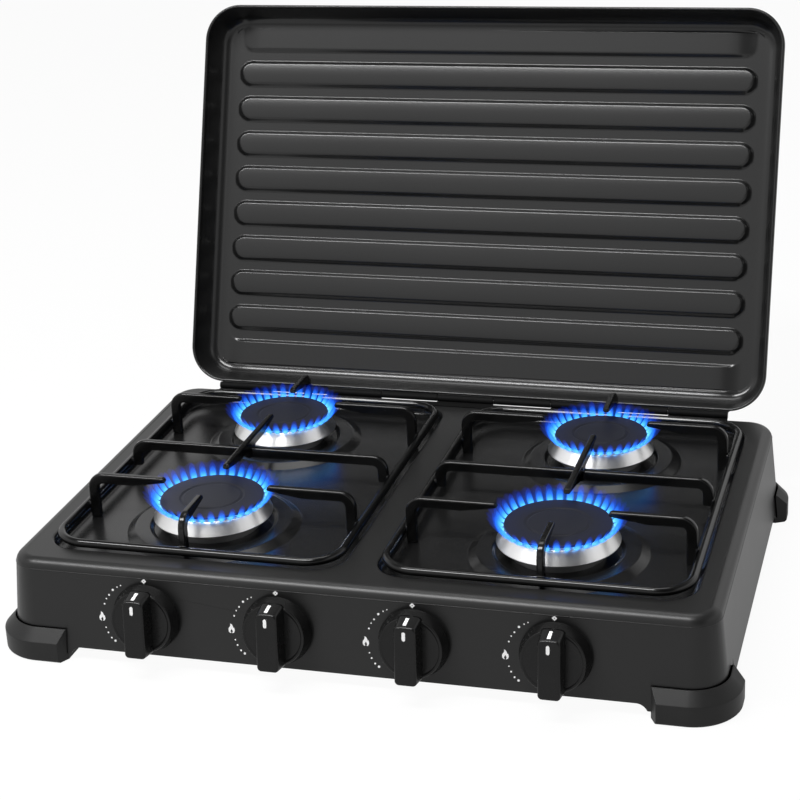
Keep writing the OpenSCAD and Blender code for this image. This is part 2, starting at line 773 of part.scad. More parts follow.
module spindle(i) {
    color("#b8943f") control_pose(tap_x(i)) difference() {
        union() {
            translate([0, spindle_tip_y, 0]) along_y(spindle_r, spindle_end_y - spindle_tip_y);
            translate([0, collar_y - collar_t, 0]) along_y(collar_r, collar_t);
        }
        translate([-spindle_r, spindle_tip_y - 1, spindle_r - spindle_flat])
            cube([2 * spindle_r, knob_back_y - spindle_tip_y + 1, spindle_r]);
    }
}

// Side view of the grip bar, pointing end on the right, knob face below: that end slopes
module grip_profile() {
    reach = knob_face_d / 2;
    slope = 2.8;
    heel = 2;
    polygon([[-reach, -knob_wall], [-reach, grip_h - heel], [heel - reach, grip_h], [reach - slope, grip_h],
             [reach, 0], [reach, -knob_wall]]);
}

// The grip bar cut across: it narrows from the knob's face at y = 0 towards its front
module grip_section() {
    base = grip_base_w / 2;
    front = grip_w / 2;
    polygon([[-base, knob_wall], [-base, 0], [-front, -grip_h], [front, -grip_h], [base, 0],
             [base, knob_wall]]);
}

// Drawn with the face at z = 0, the back towards +Z and the pointing end towards -Y
module knob(i) {
    base = knob_base_d / 2;
    face = knob_face_d / 2;
    chamfer = 1;
    floor_h = knob_wall + chamfer;
    flat = spindle_r - spindle_flat + run_fit;
    color("#1b1c1e") control_pose(tap_x(i)) translate([0, knob_face_y, 0]) rotate([-90, 0, 0]) difference() {
        union() {
            rotate_extrude()
                polygon([[0, 0], [face - chamfer, 0], [face, chamfer], [base, knob_h],
                         [base - knob_wall, knob_h],
                         [face - knob_wall, floor_h], [hub_r, floor_h], [hub_r, knob_h], [0, knob_h]]);
            intersection() {
                rotate([180, 0, 0]) rotate([90, 0, 90])
                    linear_extrude(height = 2 * grip_base_w, center = true) grip_profile();
                rotate([90, 0, 0]) linear_extrude(height = 2 * knob_face_d, center = true) grip_section();
                translate([0, 0, -2 * grip_h]) cylinder(r = face, h = 2 * grip_h + chamfer);
            }
        }
        translate([0, 0, spindle_tip_y - knob_face_y - lay_gap]) difference() {
            cylinder(r = spindle_r + run_fit, h = knob_h + grip_h);
            translate([-hub_r, -flat - hub_r, -1]) cube([2 * hub_r, hub_r, knob_h + grip_h + 2]);
        }
    }
}

// Turns what is drawn closed to where the open lid stands
module lid_pose() {
    translate([0, hinge_y, hinge_z]) rotate([-lid_open, 0, 0]) translate([0, -hinge_y, -hinge_z])
        children();
}

// Hem, leaning wall and rounded shoulder of the lid, seen from the rim upwards
module lid_profile() {
    arc_x = -panel_inset;
    lean = [-(slope_end_z - hem_h) * tan(wall_lean), slope_end_z - hem_h];
    inward = [-sheet * cos(wall_lean), -sheet * sin(wall_lean)];
    translate([-sheet, 0]) square([sheet, hem_h]);
    top = [0, hem_h];
    polygon([top, top + lean, top + lean + inward, top + inward, [-sheet, hem_h]]);
    translate([arc_x, arc_z]) ring_piece(panel_r, panel_r + sheet, wall_lean, 90);
}

// A rib lying along X: half width w at z = 0, narrower by slope at z = height
module rib_form(w, height, slope) {
    side = [[0, 0], [w, 0], [w - slope, height], [0, height]];
    run = rib_len - rib_w;
    rotate([90, 0, 90]) linear_extrude(height = run, center = true)
        polygon([[-w, 0], [w, 0], [w - slope, height], [slope - w, height]]);
    for (s = [0, 180]) rotate([0, 0, s]) translate([run / 2, 0, 0]) rotate([0, 0, -90])
        rotate_extrude(angle = 180) polygon(side);
}

module lid() {
    color("#303133") lid_pose() translate([0, lid_y, rim_z]) difference() {
        union() {
            sweep_rect(lid_w, lid_d, lid_corner_r) lid_profile();
            translate([0, 0, lid_h]) linear_extrude(height = sheet)
                round_rect(lid_w - 2 * panel_inset, lid_d - 2 * panel_inset, lid_corner_r - panel_inset);
            each_rib() translate([0, 0, lid_h]) mirror([0, 0, 1]) rib_form(rib_w / 2, rib_h, rib_slope);
            each_half_rib() translate([0, 0, lid_h]) mirror([0, 0, 1]) half_rib_form(0);
        }
        each_rib() translate([0, 0, lid_h + sheet]) mirror([0, 0, 1])
            rib_form(rib_w / 2 - sheet / 2, rib_h, rib_slope);
        each_half_rib() translate([0, 0, lid_h + sheet]) mirror([0, 0, 1]) half_rib_form(sheet / 2);
    }
}

// Places its children at the middle of each rib
module each_rib() {
    for (k = [0:rib_count - 1]) translate([0, -lid_d / 2 + rib_front + rib_w / 2 + k * rib_pitch, 0])
        children();
}
// Half rib: a step that fades into the panel, drawn with its foot at y = 0 and its body towards -y
module half_rib_form(inset) {
    end = rib_len / 2 - inset;
    intersection() {
        rotate([90, 0, 90]) linear_extrude(height = rib_len, center = true)
            polygon([[-inset, 0], [-inset - rib_slope, rib_h], [2 * inset - half_rib_w, 0]]);
        rotate([90, 0, 0]) linear_extrude(height = half_rib_w)
            polygon([[-end, 0], [end, 0], [end - rib_fade, rib_h], [rib_fade - end, rib_h]]);
    }
}
module each_half_rib() {
    gap = rib_pitch - rib_w;
    first = -lid_d / 2 + rib_front - gap;
    last = -lid_d / 2 + rib_front + rib_count * rib_pitch;
    translate([0, first, 0]) children();
    translate([0, last, 0]) mirror([0, 1, 0]) children();
}

// Knuckles of one leaf: which = 0 for the body's, 1 for the lid's
module knuckles(which) {
    for (k = [which:2:knuckle_count - 1])
        translate([-hinge_len / 2 + k * knuckle_len + move_gap / 2, 0, 0]) children();
}

// One knuckle with its bore, along X from the origin
module knuckle_tube() {
    rotate([0, 90, 0]) cylinder(r = barrel_r, h = knuckle_len - move_gap);
}

module pin_bore() {
    translate([-hinge_len, hinge_y, hinge_z]) rotate([0, 90, 0])
        cylinder(r = pin_r + run_fit, h = 2 * hinge_len);
}

module hinge_leaf_body() {
    front_y = rear_y - well_back + 1.5;
    color("#202123") difference() {
        union() {
            translate([-hinge_len / 2, front_y, top_z])
                cube([hinge_len, hinge_y - leaf_clear - front_y, leaf_t]);
            knuckles(0) {
                translate([0, hinge_y, hinge_z]) knuckle_tube();
                translate([0, hinge_y - leaf_clear - 1, top_z])
                    cube([knuckle_len - move_gap, leaf_clear + 1, leaf_t]);
            }
        }
        pin_bore();
    }
}

module hinge_leaf_lid() {
    color("#202123") lid_pose() difference() {
        union() {
            translate([-hinge_len / 2, rim_rear_y, hinge_z + leaf_clear])
                cube([hinge_len, leaf_t, rim_z + leaf_h - hinge_z - leaf_clear]);
            knuckles(1) {
                translate([0, hinge_y, hinge_z]) knuckle_tube();
                translate([0, rim_rear_y, hinge_z]) cube([knuckle_len - move_gap, leaf_t, leaf_clear + 1]);
            }
        }
        pin_bore();
    }
}

module hinge_pin() {
    color("silver") translate([-hinge_len / 2, hinge_y, hinge_z]) rotate([0, 90, 0])
        cylinder(r = pin_r, h = hinge_len);
}

body_shell();
for (i = [0:3]) foot(i);
foot_screws();
grate(-1);  // grate_left
grate(1);  // grate_right
for (i = [0:3]) burner_cup(i);
for (i = [0:3]) burner_head(i);
for (i = [0:3]) burner_cap(i);
for (i = [0:3]) injector_holder(i);
injectors();
for (i = [0:3]) feed_tube(i);
gas_rail();
rail_brackets();
gas_inlet();
for (i = [0:3]) tap(i);
for (i = [0:3]) thrust_washer(i);
for (i = [0:3]) return_spring(i);
for (i = [0:3]) spindle(i);
for (i = [0:3]) knob(i);
lid();
hinge_leaf_lid();
hinge_leaf_body();
hinge_pin();
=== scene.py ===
import math
import random

import bmesh
import bpy
from mathutils import Matrix, Vector


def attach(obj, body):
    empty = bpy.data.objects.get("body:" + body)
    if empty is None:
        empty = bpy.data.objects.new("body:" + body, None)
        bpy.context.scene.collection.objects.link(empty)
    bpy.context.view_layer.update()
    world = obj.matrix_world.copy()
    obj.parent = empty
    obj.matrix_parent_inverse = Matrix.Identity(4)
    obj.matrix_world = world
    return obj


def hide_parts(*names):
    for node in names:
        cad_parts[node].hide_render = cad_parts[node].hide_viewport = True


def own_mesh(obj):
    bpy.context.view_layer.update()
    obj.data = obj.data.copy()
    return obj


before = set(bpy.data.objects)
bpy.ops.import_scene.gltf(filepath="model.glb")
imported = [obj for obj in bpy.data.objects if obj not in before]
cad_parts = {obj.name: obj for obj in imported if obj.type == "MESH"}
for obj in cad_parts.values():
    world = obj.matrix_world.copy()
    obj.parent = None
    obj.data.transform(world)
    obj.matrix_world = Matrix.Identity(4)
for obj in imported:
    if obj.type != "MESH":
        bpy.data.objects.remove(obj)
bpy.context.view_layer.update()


# Body shell: one sheet of steel, drawn into two wells with four raised burner seats, and folded
# down into leaning side panels with a leg at each corner. It is sprayed with a satin black stoving
# paint, which lies a little glossier in the wells, where the draw has smoothed the sheet. Its colour
# is also painted darker in the wells, as painted shade in the recesses.
WELL_HALF_W, WELL_FRONT_Y, WELL_REAR_Y = 0.2372, -0.1512, 0.1572
WELL_LOW_Z, WELL_TOP_Z = 0.060, 0.0741


class Wire:
    """A socket in a finish's node tree. Arithmetic on it adds Math nodes."""

    def __init__(self, tree, socket=None):
        self.tree, self.socket = tree, socket

    def node(self, kind, settings=None, links=None, out=0):
        """A node of one kind: its settings first, then the values or wires of its sockets."""
        made = self.tree.nodes.new("ShaderNode" + kind)
        for name, value in (settings or {}).items():
            if name == "stops":
                stops = made.color_ramp.elements
                while len(stops) < len(value):
                    stops.new(1.0)
                for stop, (position, tint) in zip(stops, value):
                    stop.position, stop.color = position, tint
            else:
                setattr(made, name, value)
        for name, value in (links or {}).items():
            if isinstance(value, Wire):
                self.tree.links.new(value.socket, made.inputs[name])
            else:
                made.inputs[name].default_value = value
        return Wire(self.tree, made.outputs[out])

    def math(self, operation, *values):
        return self.node("Math", {"operation": operation}, dict(enumerate(values)))

    def mix(self, share, first, second):
        """Colour first, turning to second as share goes from 0 to 1."""
        return self.node("Mix", {"data_type": "RGBA"}, {0: share, 6: first, 7: second}, 2)

    def __add__(self, other):
        return self.math("ADD", self, other)

    def __radd__(self, other):
        return self.math("ADD", other, self)

    def __sub__(self, other):
        return self.math("SUBTRACT", self, other)

    def __rsub__(self, other):
        return self.math("SUBTRACT", other, self)

    def __mul__(self, other):
        return self.math("MULTIPLY", self, other)

    def __rmul__(self, other):
        return self.math("MULTIPLY", other, self)

    def __lt__(self, other):
        return self.math("LESS_THAN", self, other)

    def __gt__(self, other):
        return self.math("GREATER_THAN", self, other)

    def __abs__(self):
        return self.math("ABSOLUTE", self)


def new_finish(name):
    """An empty material, and a wire into its tree."""
    made = bpy.data.materials.new(name)
    made.use_nodes = True
    made.node_tree.nodes.clear()
    return made, Wire(made.node_tree)


def lay_on(made, shader):
    """Ends a finish with its shader."""
    output = made.node_tree.nodes.new("ShaderNodeOutputMaterial")
    made.node_tree.links.new(shader.socket, output.inputs["Surface"])


def place_of(wire):
    """Place on the piece in metres."""
    return wire.node("TexCoord", out="Object")


def lengths_of(wire, place):
    """A place as its three lengths."""
    return [wire.node("SeparateXYZ", {}, {0: place}, axis) for axis in "XYZ"]


def speckle(wire, place, scale, detail=2.0):
    """Noise from 0 to 1 with grains about 1/scale metres wide."""
    return wire.node("TexNoise", {}, {"Vector": place, "Scale": scale, "Detail": detail}, "Fac")


def grain(wire, height, depth, strength):
    """Relief of that depth in metres."""
    return wire.node("Bump", {}, {"Strength": strength, "Distance": depth, "Height": height}, "Normal")


def grey(level):
    return (level, level, level, 1.0)


def paint(made, *nodes):
    """Puts a finish on solids that keep their own shape."""
    for name in nodes:
        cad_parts[name].material_slots[0].material = made


def edge_break(shallow, square, steep=65):
    """A node group that smooths a solid's faces and weighs its edges for rounding: 1 where the faces
    meet at more than shallow degrees, and square where they meet at more than steep."""
    group = bpy.data.node_groups.new("edge_break", "GeometryNodeTree")
    for way in ("INPUT", "OUTPUT"):
        group.interface.new_socket("Geometry", in_out=way, socket_type="NodeSocketGeometry")
    made = {}
    for name, kind in (("in", "NodeGroupInput"), ("plain", "GeometryNodeRemoveAttribute"),
                       ("faces", "GeometryNodeSetShadeSmooth"), ("edges", "GeometryNodeSetShadeSmooth"),
                       ("angle", "GeometryNodeInputMeshEdgeAngle"), ("low", "ShaderNodeMath"),
                       ("high", "ShaderNodeMath"), ("less", "ShaderNodeMath"), ("weight", "ShaderNodeMath"),
                       ("keep", "GeometryNodeStoreNamedAttribute"), ("out", "NodeGroupOutput")):
        made[name] = group.nodes.new(kind)
    made["plain"].inputs["Name"].default_value = "custom_normal"
    made["faces"].domain, made["edges"].domain = "FACE", "EDGE"
    made["low"].operation = made["high"].operation = "GREATER_THAN"
    made["low"].inputs[1].default_value = math.radians(shallow)
    made["high"].inputs[1].default_value = math.radians(steep)
    made["less"].operation, made["weight"].operation = "MULTIPLY", "SUBTRACT"
    made["less"].inputs[1].default_value = 1 - square
    made["keep"].data_type, made["keep"].domain = "FLOAT", "EDGE"
    made["keep"].inputs["Name"].default_value = "bevel_weight_edge"
    for start, end, socket in (("in", "plain", 0), ("plain", "faces", 0), ("faces", "edges", 0),
                               ("edges", "keep", 0), ("angle", "low", 0), ("angle", "high", 0),
                               ("high", "less", 0), ("low", "weight", 0), ("less", "weight", 1),
                               ("weight", "keep", "Value"), ("keep", "out", 0)):
        group.links.new(made[start].outputs[0], made[end].inputs[socket])
    return group


def soften(*nodes, width, shallow, square=1.0, steps=3):
    """Rounds the edges of solids, as pressing, moulding or enamel leaves them."""
    same_point, flat_angle = 0.00001, math.radians(0.6)
    group = edge_break(shallow, square)
    for name in nodes:
        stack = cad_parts[name].modifiers
        stack.new("join", "WELD").merge_threshold = same_point
        flat = stack.new("flat", "DECIMATE")
        flat.decimate_type, flat.angle_limit = "DISSOLVE", flat_angle
        stack.new("edges", "NODES").node_group = group
        round_off = stack.new("round", "BEVEL")
        round_off.limit_method, round_off.width, round_off.segments = "WEIGHT", width, steps
        round_off.use_clamp_overlap = False
        stack.new("shade", "WEIGHTED_NORMAL").keep_sharp = True


body_finish, wire = new_finish("satin_black_paint")
place = place_of(wire)
x, y, z = lengths_of(wire, place)
cloud = speckle(wire, place, 9.0, 3.0)
peel = speckle(wire, place, 900.0, 1.0)
in_plan = (abs(x) < WELL_HALF_W) * (y > WELL_FRONT_Y) * (y < WELL_REAR_Y)
well_gloss_and_shade = in_plan * (z < WELL_TOP_Z) * (z > WELL_LOW_Z)
# Base Color is painted darker in the wells: painted shade in the recesses. The lower roughness there is the
# smoother sheet.
lay_on(body_finish, wire.node("BsdfPrincipled", {}, {
    "Base Color": wire.mix(well_gloss_and_shade, wire.mix(cloud, grey(0.009), grey(0.012)), grey(0.006)),
    "Roughness": 0.33 - 0.11 * well_gloss_and_shade + 0.05 * cloud,
    "Specular IOR Level": 0.36,
    "Normal": grain(wire, peel, depth=0.00004, strength=0.15)}))
paint(body_finish, "body_shell")
soften("body_shell", width=0.0007, shallow=22, square=0.5)


# Draw line: the fine raised line that the drawing die leaves in the sheet, where the rounded top
# edge runs out into the leaning panels. It is part of the shell and has the same paint.
DRAW_HALF_X, DRAW_HALF_Y, DRAW_CORNER, DRAW_Z = 0.25449, 0.17199, 0.02049, 0.06727
DRAW_IN, DRAW_R = 0.00012, 0.00034


def ring(half_x, half_y, r, steps=12, spans=1):
    """Points round a rectangle with round corners, in order, and the way out at each. There are
    steps in each corner and spans along each side."""
    points = []
    for sign_x, sign_y, start in ((1, 1, 0), (-1, 1, 90), (-1, -1, 180), (1, -1, 270)):
        middle = Vector((sign_x * (half_x - r), sign_y * (half_y - r), 0))
        for k in range(steps + 1):
            a = math.radians(start + 90 * k / steps)
            out = Vector((math.cos(a), math.sin(a), 0))
            points.append((middle + r * out, out))
        end = points[-1][0]
        if start % 180 == 0:
            side = Vector((-sign_y * 2 * (half_x - r), 0, 0))
        else:
            side = Vector((0, sign_x * 2 * (half_y - r), 0))
        points += [(end + side * (k / spans), out) for k in range(1, spans)]
    return points


def skin(mesh, rows, ends=False):
    """Faces from each closed row of points to the next, and over the two ends if asked."""
    for one, two in zip(rows, rows[1:]):
        for k in range(len(one)):
            n = (k + 1) % len(one)
            mesh.faces.new(dict.fromkeys((one[k], one[n], two[n], two[k])))
    if ends:
        mesh.faces.new(rows[0][::-1])
        mesh.faces.new(rows[-1])


def bead(mesh, path, inside, r, sides):
    """A closed round bead of radius r along a ring, with its middle a little inside the ring."""
    turns = [k * math.tau / sides for k in range(sides)]
    rows = [[mesh.verts.new(point + out * (r * math.cos(a) - inside) + Vector((0, 0, r * math.sin(a))))
             for a in turns] for point, out in path]
    skin(mesh, rows + rows[:1])


def new_piece(name, mesh, finish, smooth=True):
    """A mesh as a piece of the scene, with its finish."""
    bmesh.ops.recalc_face_normals(mesh, faces=mesh.faces)
    data = bpy.data.meshes.new(name)
    mesh.to_mesh(data)
    mesh.free()
    for face in data.polygons:
        face.use_smooth = smooth
    data.materials.append(finish)
    piece = bpy.data.objects.new(name, data)
    bpy.context.scene.collection.objects.link(piece)
    return piece


mesh = bmesh.new()
bead(mesh, ring(DRAW_HALF_X, DRAW_HALF_Y, DRAW_CORNER), DRAW_IN, DRAW_R, sides=8)
bmesh.ops.translate(mesh, verts=mesh.verts, vec=(0, 0, DRAW_Z))
draw_line = new_piece("draw_line", mesh, body_finish)
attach(draw_line, "stove")


# Feet: four corner shoes moulded in black plastic with a fine spark-eroded grain. Each wraps a leg
# from outside, with a narrow gap to the panels, and is held by a zinc-plated screw from below.
CORNERS = ("front_left", "rear_left", "rear_right", "front_right")
FEET = ["foot_" + corner for corner in CORNERS]

foot_finish, wire = new_finish("grained_black_plastic")
place = place_of(wire)
tooth = speckle(wire, place, 2600.0)
scuff = speckle(wire, place, 60.0, 4.0)
lay_on(foot_finish, wire.node("BsdfPrincipled", {}, {
    "Base Color": wire.mix(scuff, grey(0.012), grey(0.018)),
    "Roughness": 0.40 + 0.10 * scuff,
    "Specular IOR Level": 0.24,
    "Normal": grain(wire, tooth, depth=0.00005, strength=0.25)}))
paint(foot_finish, *FEET)
soften(*FEET, width=0.0005, shallow=20)

zinc_finish, wire = new_finish("zinc_plate")
spangle = speckle(wire, place_of(wire), 500.0)
lay_on(zinc_finish, wire.node("BsdfPrincipled", {}, {
    "Base Color": wire.mix(spangle, (0.56, 0.57, 0.58, 1), (0.68, 0.68, 0.67, 1)),
    "Metallic": 1.0,
    "Roughness": 0.26 + 0.16 * spangle,
    "Normal": grain(wire, spangle, depth=0.00003, strength=0.3)}))
paint(zinc_finish, "foot_screws")


# Gas train: a steel rail carries four brass taps, and drawn aluminium tubes lead from them to the
# injector holders under the burners. Brackets, washers and spindles are turned or pressed parts.
TAPS = (1, 2, 3, 4)
LATHE_MARKS = (60.0, 1600.0, 60.0)

brass_finish, wire = new_finish("turned_brass")
place = place_of(wire)
lathe = speckle(wire, wire.node("VectorMath", {"operation": "MULTIPLY"}, {0: place, 1: LATHE_MARKS}), 1.0)
tarnish = speckle(wire, place, 120.0, 3.0)
lay_on(brass_finish, wire.node("BsdfPrincipled", {}, {
    "Base Color": wire.mix(tarnish, (0.66, 0.45, 0.17, 1), (0.48, 0.31, 0.11, 1)),
    "Metallic": 1.0,
    "Roughness": 0.22 + 0.2 * tarnish,
    "Normal": grain(wire, lathe, depth=0.00003, strength=0.35)}))
paint(brass_finish, "injectors", *(piece + str(i) for i in TAPS for piece in ("tap_", "spindle_")))
paint(zinc_finish, "gas_rail", "rail_brackets", "gas_inlet", *("thrust_washer_" + str(i) for i in TAPS))

tube_finish, wire = new_finish("drawn_aluminium")
die_mark = speckle(wire, place_of(wire), 700.0)
lay_on(tube_finish, wire.node("BsdfPrincipled", {}, {
    "Base Color": wire.mix(die_mark, (0.66, 0.67, 0.68, 1), (0.76, 0.76, 0.76, 1)),
    "Metallic": 1.0,
    "Roughness": 0.3 + 0.14 * die_mark,
    "Normal": grain(wire, die_mark, depth=0.00002, strength=0.3)}))
paint(tube_finish, *(piece + corner for corner in CORNERS for piece in ("feed_tube_", "injector_holder_")))


# Return springs: wound from hard-drawn steel wire. Each stands on the seat in its tap round the
# spindle. On the stove it closes up as the thrust washer comes in with the pushed knob; here each coil
# is built once, fixed to the stove.
CONTROL_X, CONTROL_Y, CONTROL_Z = (-0.147, -0.049, 0.049, 0.147), -0.1746595, 0.0395
CONTROL_IN, CONTROL_UP = Vector((0, 0.995396, -0.095846)), Vector((0, 0.095846, 0.995396))
COIL_R, WIRE_R, COIL_TURNS, COIL_STEPS, WIRE_SIDES = 0.0063, 0.00055, 4.5, 108, 10
COIL_FRONT, COIL_SEAT, PUSH = 0.0084, 0.0198, 0.0025

spring_finish, wire = new_finish("spring_wire")
temper = speckle(wire, place_of(wire), 300.0)
lay_on(spring_finish, wire.node("BsdfPrincipled", {}, {
    "Base Color": wire.mix(temper, (0.30, 0.30, 0.31, 1), (0.42, 0.41, 0.40, 1)),
    "Metallic": 1.0,
    "Roughness": 0.28 + 0.15 * temper}))
paint(spring_finish, *("return_spring_" + str(i) for i in TAPS))

for i, tap_x in zip(TAPS, CONTROL_X):
    middle = Vector((tap_x, CONTROL_Y, CONTROL_Z))
    mesh = bmesh.new()
    rows = []
    for k in range(COIL_STEPS + 1):
        t = k / COIL_STEPS
        a = math.tau * COIL_TURNS * t
        out = Vector((math.cos(a), 0, 0)) + CONTROL_UP * math.sin(a)
        along = COIL_FRONT + WIRE_R + (COIL_SEAT - COIL_FRONT - 2 * WIRE_R) * t
        rows.append([mesh.verts.new(
            middle + out * (COIL_R + WIRE_R * math.cos(b)) + CONTROL_IN * (along + WIRE_R * math.sin(b)))
            for b in (j * math.tau / WIRE_SIDES for j in range(WIRE_SIDES))])
    skin(mesh, rows, ends=True)
    coil = new_piece("return_coil_%d" % i, mesh, spring_finish)
    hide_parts("return_spring_%d" % i)
    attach(coil, "stove")
    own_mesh(coil)


# Burners: a die-cast aluminium cup under each well, a turned aluminium head with sawn gas ports that
# sits on it, and a loose steel cap in matt black enamel with a groove ring, its colour painted bluer
# towards the rim as painted light from the flames.
BURNERS = {"front_left": (-0.12975, -0.080, 0.0385), "rear_left": (-0.12975, 0.0845, 0.0355),
           "rear_right": (0.12975, 0.0845, 0.0355), "front_right": (0.12975, -0.080, 0.0385)}
TOOL_MARKS = 14000.0

cup_finish, wire = new_finish("cast_aluminium")
cast = speckle(wire, place_of(wire), 900.0, 3.0)
lay_on(cup_finish, wire.node("BsdfPrincipled", {}, {
    "Base Color": wire.mix(cast, (0.34, 0.34, 0.35, 1), (0.48, 0.48, 0.48, 1)),
    "Metallic": 1.0,
    "Roughness": 0.45 + 0.15 * cast,
    "Normal": grain(wire, cast, depth=0.00008, strength=0.5)}))
paint(cup_finish, *("burner_cup_" + corner for corner in CORNERS))


def round_axis(wire, place, axis_x, axis_y):
    """Distance of a place from an upright axis, and its height."""
    x, y, z = lengths_of(wire, place)
    across, along = x - axis_x, y - axis_y
    return wire.math("SQRT", across * across + along * along), z


def rise_between(wire, value, low, high, at_low=0.0, at_high=1.0):
    """Smooth change from at_low to at_high as a value goes from low to high."""
    return wire.node("MapRange", {"interpolation_type": "SMOOTHSTEP"}, {
        "Value": value, "From Min": low, "From Max": high, "To Min": at_low, "To Max": at_high})


for corner, (centre_x, centre_y, cap_r) in BURNERS.items():
    head_finish, wire = new_finish("turned_aluminium_" + corner)
    place = place_of(wire)
    radius, height = round_axis(wire, place, centre_x, centre_y)
    tool_mark = wire.math("SINE", (height - radius) * TOOL_MARKS)
    bloom = speckle(wire, place, 90.0)
    lay_on(head_finish, wire.node("BsdfPrincipled", {}, {
        "Base Color": wire.mix(bloom, (0.80, 0.80, 0.80, 1), (0.88, 0.88, 0.87, 1)),
        "Metallic": 1.0,
        "Roughness": 0.27 + 0.06 * bloom,
        "Normal": grain(wire, tool_mark, depth=0.000006, strength=0.5)}))
    paint(head_finish, "burner_head_" + corner)

    cap_finish, wire = new_finish("matt_enamel_" + corner)
    place = place_of(wire)
    radius, _ = round_axis(wire, place, centre_x, centre_y)
    flame_light_and_gloss = rise_between(wire, radius, cap_r * 0.5, cap_r)
    tooth = speckle(wire, place, 1800.0)
    # Base Color turns bluer towards the rim: painted blue light from the flames. The rim is also made a
    # little smoother.
    lay_on(cap_finish, wire.node("BsdfPrincipled", {}, {
        "Base Color": wire.mix(flame_light_and_gloss, (0.013, 0.014, 0.020, 1), (0.012, 0.014, 0.030, 1)),
        "Roughness": 0.42 + 0.10 * tooth - 0.06 * flame_light_and_gloss,
        "Specular IOR Level": 0.22,
        "Normal": grain(wire, tooth, depth=0.00004, strength=0.2)}))
    paint(cap_finish, "burner_cap_" + corner)
soften(*(piece + corner for corner in CORNERS for piece in ("burner_head_", "burner_cap_")),
       width=0.0005, shallow=20)


# Flames: the lit gas at each port. A tongue leaves the slot outwards and turns up round the edge of
# the cap, pale at the port and deep blue at the tip, inside a faint blue veil. They are light, not
# matter.
PORTS = 36
FLAME_Z, FLAME_GAP, FLAME_REACH, FLAME_RISE, FLAME_HALF = 0.0893, 0.0002, 0.0074, 0.0112, 0.0029
FLAME_SHELLS = ((0.0, 1.0), (0.55, 0.78), (1.0, 0.52))
BULGE, FOOT_SHARE, SWELL, FLATNESS, TIP = 1.25, 0.62, 1.35, 0.55, 0.00005
SHELL_RISE, SHELL_LEAST, DRAUGHT = 1.2, 0.36, (0.88, 1.1)
VEIL_GAP, VEIL_REACH, VEIL_RISE, VEIL_LOBE, VEIL_FROM = 0.0012, 0.0105, 0.0092, 0.0008, 0.25

flame_finish, wire = new_finish("gas_flame")
along = wire.node("Attribute", {"attribute_name": "along"}, out="Fac")
depth = wire.node("Attribute", {"attribute_name": "depth"}, out="Fac")
core = wire.node("ValToRGB", {"stops": [
    (0.0, (0.30, 0.85, 1.0, 1)), (0.4, (0.10, 0.52, 1.0, 1)), (1.0, (0.02, 0.22, 1.0, 1))]}, {0: along})
mantle = wire.node("ValToRGB", {"stops": [
    (0.0, (0.03, 0.36, 1.0, 1)), (0.5, (0.012, 0.15, 1.0, 1)), (1.0, (0.006, 0.03, 0.70, 1))]}, {0: along})
fade = wire.math("POWER", 1.0 - along, 0.6)
lay_on(flame_finish, wire.node("BsdfPrincipled", {}, {
    "Base Color": (0.0, 0.0, 0.0, 1),
    "Roughness": 1.0,
    "Specular IOR Level": 0.0,
    "Emission Color": wire.mix(depth, mantle, core),
    "Emission Strength": 1.9,
    "Alpha": fade * (0.26 + 0.32 * depth)}))


def tongue(mesh, marks, foot, out, reach, rise, width, inner):
    """One flame: rounded at the port, widest a third of the way up, drawn to a soft point."""
    side = Vector((-out.y, out.x, 0))
    rows, steps, sides = [], 9, 10
    for k in range(steps + 1):
        t = k / steps
        middle = foot + out * (reach * (BULGE * t * (1 - t) + t * t)) + Vector((0, 0, rise * t * t))
        heading = (out * (reach * (BULGE - 2 * (BULGE - 1) * t)) + Vector((0, 0, 2 * t * rise))).normalized()
        half = width * (FOOT_SHARE + SWELL * t) * (1 - t) ** 0.5 + TIP
        across = heading.cross(side) * FLATNESS
        row = []
        for s in range(sides):
            a = s * math.tau / sides
            point = mesh.verts.new(middle + side * (half * math.cos(a)) + across * (half * math.sin(a)))
            point[marks["along"]], point[marks["depth"]] = t, inner
            row.append(point)
        rows.append(row)
    skin(mesh, rows, ends=True)


def veil(mesh, marks, foot, r):
    """The blue envelope round a burner: a thin skirt that opens upwards, with a soft lobe at each port."""
    rows, steps, turns = [], 6, PORTS * 4
    for k in range(steps + 1):
        t = k / steps
        row = []
        for s in range(turns):
            a = s * math.tau / turns
            lobe = VEIL_LOBE * math.cos(a * PORTS)
            out = r + VEIL_GAP + (VEIL_REACH + lobe) * t
            point = mesh.verts.new(foot + Vector((
                out * math.cos(a), out * math.sin(a), VEIL_RISE * t ** 1.5 + lobe * t)))
            point[marks["along"]], point[marks["depth"]] = VEIL_FROM + (1 - VEIL_FROM) * t, 0.0
            row.append(point)
        rows.append(row)
    skin(mesh, rows)


draught = random.Random(7)
for corner, (centre_x, centre_y, cap_r) in BURNERS.items():
    mesh = bmesh.new()
    marks = {name: mesh.verts.layers.float.new(name) for name in ("along", "depth")}
    middle = Vector((centre_x, centre_y, FLAME_Z))
    for k in range(PORTS):
        turn = k * math.tau / PORTS
        out = Vector((math.cos(turn), math.sin(turn), 0))
        lift = draught.uniform(*DRAUGHT)
        for inner, share in FLAME_SHELLS:
            tongue(mesh, marks, middle + out * (cap_r + FLAME_GAP), out, FLAME_REACH * share,
                   FLAME_RISE * lift * share ** SHELL_RISE,
                   FLAME_HALF * (SHELL_LEAST + (1 - SHELL_LEAST) * share), inner)
    veil(mesh, marks, middle, cap_r)
    flames = new_piece("flames_" + corner, mesh, flame_finish)
    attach(flames, "stove")
    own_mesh(flames)


